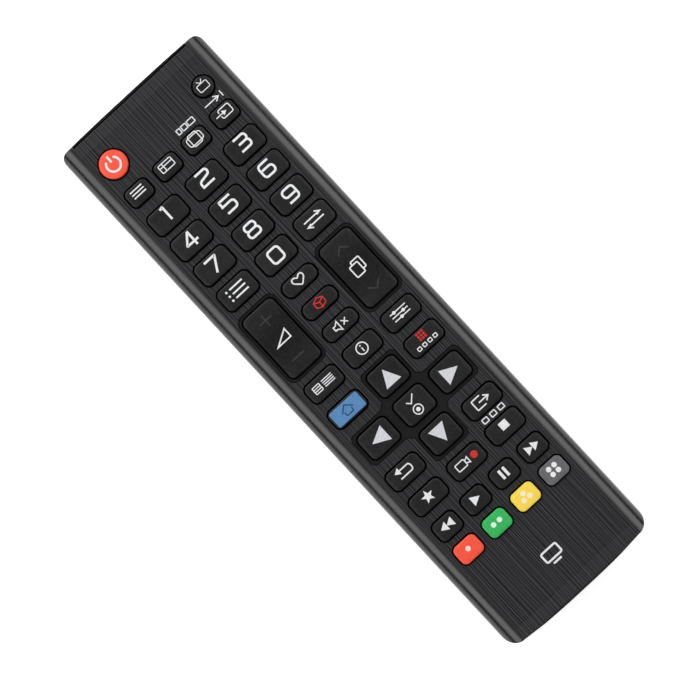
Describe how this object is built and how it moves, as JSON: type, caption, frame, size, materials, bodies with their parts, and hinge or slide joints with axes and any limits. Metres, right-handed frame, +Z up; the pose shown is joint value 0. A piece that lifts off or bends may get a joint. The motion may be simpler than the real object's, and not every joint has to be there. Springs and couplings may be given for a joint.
{
  "type": "tv remote control",
  "caption": "Slim handheld infrared remote control with a brushed face, push keys, rockers, an arrow pad and a sliding battery door.",
  "frame": {"origin": "on the table, under the middle of the outline", "axes": "+X to the right of the user, +Y along the case towards the infrared window, +Z up out of the keys"},
  "size_m": [0.054, 0.1942, 0.021],
  "materials": {
    "case_front": "brushed dark grey plastic, satin",
    "case_rear": "fine textured black plastic",
    "ir_window": "gloss, infrared transparent, nearly black",
    "key_black": "matte soft-touch",
    "key_red_plastic": "matte soft-touch red",
    "key_green_plastic": "matte soft-touch green",
    "key_yellow_plastic": "matte soft-touch yellow",
    "key_grey_plastic": "matte soft-touch grey",
    "key_blue_plastic": "matte soft-touch blue",
    "silicone": "matte silicone",
    "board": "green solder mask, satin",
    "chip": "black moulding",
    "components": "satin",
    "led": "gloss, tinted",
    "contact_steel": "nickel plated",
    "screw_steel": "zinc plated",
    "battery": "satin printed sleeve"
  },
  "bodies": {
    "case": {"front_cover": "case_front", "rear_cover": "case_rear", "ir_window": "ir_window", "keypad_mat": "silicone", "circuit_board": "board", "control_chip": "chip", "board_parts": "components", "ir_led": "led", "spring_contacts": "contact_steel", "flat_contacts": "contact_steel", "case_screw": "screw_steel", "battery_left": "battery", "battery_right": "battery"},
    "battery_door": {"battery_door": "case_rear"},
    "key_0": {"key_0": "key_black"},
    "key_1": {"key_1": "key_black"},
    "key_2": {"key_2": "key_black"},
    "key_3": {"key_3": "key_black"},
    "key_3d": {"key_3d": "key_black"},
    "key_4": {"key_4": "key_black"},
    "key_5": {"key_5": "key_black"},
    "key_6": {"key_6": "key_black"},
    "key_7": {"key_7": "key_black"},
    "key_8": {"key_8": "key_black"},
    "key_9": {"key_9": "key_black"},
    "key_app_star": {"key_app_star": "key_black"},
    "key_apps": {"key_apps": "key_black"},
    "key_back": {"key_back": "key_black"},
    "key_down": {"key_down": "key_black"},
    "key_exit": {"key_exit": "key_black"},
    "key_fav": {"key_fav": "key_black"},
    "key_forward": {"key_forward": "key_black"},
    "key_green": {"key_green": "key_green_plastic"},
    "key_grey": {"key_grey": "key_grey_plastic"},
    "key_guide": {"key_guide": "key_black"},
    "key_home": {"key_home": "key_blue_plastic"},
    "key_info": {"key_info": "key_black"},
    "key_input": {"key_input": "key_black"},
    "key_left": {"key_left": "key_black"},
    "key_list": {"key_list": "key_black"},
    "key_menu": {"key_menu": "key_black"},
    "key_mute": {"key_mute": "key_black"},
    "key_ok": {"key_ok": "key_black"},
    "key_options": {"key_options": "key_black"},
    "key_page": {"key_page": "key_black"},
    "key_pause": {"key_pause": "key_black"},
    "key_play": {"key_play": "key_black"},
    "key_power": {"key_power": "key_red_plastic"},
    "key_radio": {"key_radio": "key_black"},
    "key_ratio": {"key_ratio": "key_black"},
    "key_recall": {"key_recall": "key_black"},
    "key_record": {"key_record": "key_black"},
    "key_red": {"key_red": "key_red_plastic"},
    "key_rewind": {"key_rewind": "key_black"},
    "key_right": {"key_right": "key_black"},
    "key_stop": {"key_stop": "key_black"},
    "key_text": {"key_text": "key_black"},
    "key_up": {"key_up": "key_black"},
    "key_volume": {"key_volume": "key_black"},
    "key_yellow": {"key_yellow": "key_yellow_plastic"}
  },
  "joints": [
    {"name": "door_slide", "type": "slide", "parent": "case", "child": "battery_door", "axis": [0, -1, 0], "range_m": [0, 0.07]},
    {"name": "0_press", "type": "slide", "parent": "case", "child": "key_0", "axis": [0, 0, -1], "range_m": [0, 0.001], "stiffness_N_per_m": 800},
    {"name": "1_press", "type": "slide", "parent": "case", "child": "key_1", "axis": [0, 0, -1], "range_m": [0, 0.001], "stiffness_N_per_m": 800},
    {"name": "2_press", "type": "slide", "parent": "case", "child": "key_2", "axis": [0, 0, -1], "range_m": [0, 0.001], "stiffness_N_per_m": 800},
    {"name": "3_press", "type": "slide", "parent": "case", "child": "key_3", "axis": [0, 0, -1], "range_m": [0, 0.001], "stiffness_N_per_m": 800},
    {"name": "3d_press", "type": "slide", "parent": "case", "child": "key_3d", "axis": [0, 0, -1], "range_m": [0, 0.001], "stiffness_N_per_m": 800},
    {"name": "4_press", "type": "slide", "parent": "case", "child": "key_4", "axis": [0, 0, -1], "range_m": [0, 0.001], "stiffness_N_per_m": 800},
    {"name": "5_press", "type": "slide", "parent": "case", "child": "key_5", "axis": [0, 0, -1], "range_m": [0, 0.001], "stiffness_N_per_m": 800},
    {"name": "6_press", "type": "slide", "parent": "case", "child": "key_6", "axis": [0, 0, -1], "range_m": [0, 0.001], "stiffness_N_per_m": 800},
    {"name": "7_press", "type": "slide", "parent": "case", "child": "key_7", "axis": [0, 0, -1], "range_m": [0, 0.001], "stiffness_N_per_m": 800},
    {"name": "8_press", "type": "slide", "parent": "case", "child": "key_8", "axis": [0, 0, -1], "range_m": [0, 0.001], "stiffness_N_per_m": 800},
    {"name": "9_press", "type": "slide", "parent": "case", "child": "key_9", "axis": [0, 0, -1], "range_m": [0, 0.001], "stiffness_N_per_m": 800},
    {"name": "app_star_press", "type": "slide", "parent": "case", "child": "key_app_star", "axis": [0, 0, -1], "range_m": [0, 0.001], "stiffness_N_per_m": 800},
    {"name": "apps_press", "type": "slide", "parent": "case", "child": "key_apps", "axis": [0, 0, -1], "range_m": [0, 0.001], "stiffness_N_per_m": 800},
    {"name": "back_press", "type": "slide", "parent": "case", "child": "key_back", "axis": [0, 0, -1], "range_m": [0, 0.001], "stiffness_N_per_m": 800},
    {"name": "down_press", "type": "slide", "parent": "case", "child": "key_down", "axis": [0, 0, -1], "range_m": [0, 0.001], "stiffness_N_per_m": 800},
    {"name": "exit_press", "type": "slide", "parent": "case", "child": "key_exit", "axis": [0, 0, -1], "range_m": [0, 0.001], "stiffness_N_per_m": 800},
    {"name": "fav_press", "type": "slide", "parent": "case", "child": "key_fav", "axis": [0, 0, -1], "range_m": [0, 0.001], "stiffness_N_per_m": 800},
    {"name": "forward_press", "type": "slide", "parent": "case", "child": "key_forward", "axis": [0, 0, -1], "range_m": [0, 0.001], "stiffness_N_per_m": 800},
    {"name": "green_press", "type": "slide", "parent": "case", "child": "key_green", "axis": [0, 0, -1], "range_m": [0, 0.001], "stiffness_N_per_m": 800},
    {"name": "grey_press", "type": "slide", "parent": "case", "child": "key_grey", "axis": [0, 0, -1], "range_m": [0, 0.001], "stiffness_N_per_m": 800},
    {"name": "guide_press", "type": "slide", "parent": "case", "child": "key_guide", "axis": [0, 0, -1], "range_m": [0, 0.001], "stiffness_N_per_m": 800},
    {"name": "home_press", "type": "slide", "parent": "case", "child": "key_home", "axis": [0, 0, -1], "range_m": [0, 0.001], "stiffness_N_per_m": 800},
    {"name": "info_press", "type": "slide", "parent": "case", "child": "key_info", "axis": [0, 0, -1], "range_m": [0, 0.001], "stiffness_N_per_m": 800},
    {"name": "input_press", "type": "slide", "parent": "case", "child": "key_input", "axis": [0, 0, -1], "range_m": [0, 0.001], "stiffness_N_per_m": 800},
    {"name": "left_press", "type": "slide", "parent": "case", "child": "key_left", "axis": [0, 0, -1], "range_m": [0, 0.001], "stiffness_N_per_m": 800},
    {"name": "list_press", "type": "slide", "parent": "case", "child": "key_list", "axis": [0, 0, -1], "range_m": [0, 0.001], "stiffness_N_per_m": 800},
    {"name": "menu_press", "type": "slide", "parent": "case", "child": "key_menu", "axis": [0, 0, -1], "range_m": [0, 0.001], "stiffness_N_per_m": 800},
    {"name": "mute_press", "type": "slide", "parent": "case", "child": "key_mute", "axis": [0, 0, -1], "range_m": [0, 0.001], "stiffness_N_per_m": 800},
    {"name": "ok_press", "type": "slide", "parent": "case", "child": "key_ok", "axis": [0, 0, -1], "range_m": [0, 0.001], "stiffness_N_per_m": 800},
    {"name": "options_press", "type": "slide", "parent": "case", "child": "key_options", "axis": [0, 0, -1], "range_m": [0, 0.001], "stiffness_N_per_m": 800},
    {"name": "page_rock", "type": "hinge", "parent": "case", "child": "key_page", "pos_m": [0.015, 0.0152, 0.0186], "axis": [1, 0, 0], "range_deg": [-3.5, 3.5], "stiffness_Nm_per_rad": 0.12},
    {"name": "pause_press", "type": "slide", "parent": "case", "child": "key_pause", "axis": [0, 0, -1], "range_m": [0, 0.001], "stiffness_N_per_m": 800},
    {"name": "play_press", "type": "slide", "parent": "case", "child": "key_play", "axis": [0, 0, -1], "range_m": [0, 0.001], "stiffness_N_per_m": 800},
    {"name": "power_press", "type": "slide", "parent": "case", "child": "key_power", "axis": [0, 0, -1], "range_m": [0, 0.001], "stiffness_N_per_m": 800},
    {"name": "radio_press", "type": "slide", "parent": "case", "child": "key_radio", "axis": [0, 0, -1], "range_m": [0, 0.001], "stiffness_N_per_m": 800},
    {"name": "ratio_press", "type": "slide", "parent": "case", "child": "key_ratio", "axis": [0, 0, -1], "range_m": [0, 0.001], "stiffness_N_per_m": 800},
    {"name": "recall_press", "type": "slide", "parent": "case", "child": "key_recall", "axis": [0, 0, -1], "range_m": [0, 0.001], "stiffness_N_per_m": 800},
    {"name": "record_press", "type": "slide", "parent": "case", "child": "key_record", "axis": [0, 0, -1], "range_m": [0, 0.001], "stiffness_N_per_m": 800},
    {"name": "red_press", "type": "slide", "parent": "case", "child": "key_red", "axis": [0, 0, -1], "range_m": [0, 0.001], "stiffness_N_per_m": 800},
    {"name": "rewind_press", "type": "slide", "parent": "case", "child": "key_rewind", "axis": [0, 0, -1], "range_m": [0, 0.001], "stiffness_N_per_m": 800},
    {"name": "right_press", "type": "slide", "parent": "case", "child": "key_right", "axis": [0, 0, -1], "range_m": [0, 0.001], "stiffness_N_per_m": 800},
    {"name": "stop_press", "type": "slide", "parent": "case", "child": "key_stop", "axis": [0, 0, -1], "range_m": [0, 0.001], "stiffness_N_per_m": 800},
    {"name": "text_press", "type": "slide", "parent": "case", "child": "key_text", "axis": [0, 0, -1], "range_m": [0, 0.001], "stiffness_N_per_m": 800},
    {"name": "up_press", "type": "slide", "parent": "case", "child": "key_up", "axis": [0, 0, -1], "range_m": [0, 0.001], "stiffness_N_per_m": 800},
    {"name": "volume_rock", "type": "hinge", "parent": "case", "child": "key_volume", "pos_m": [-0.015, 0.0152, 0.0186], "axis": [1, 0, 0], "range_deg": [-3.5, 3.5], "stiffness_Nm_per_rad": 0.12},
    {"name": "yellow_press", "type": "slide", "parent": "case", "child": "key_yellow", "axis": [0, 0, -1], "range_m": [0, 0.001], "stiffness_N_per_m": 800}
  ]
}
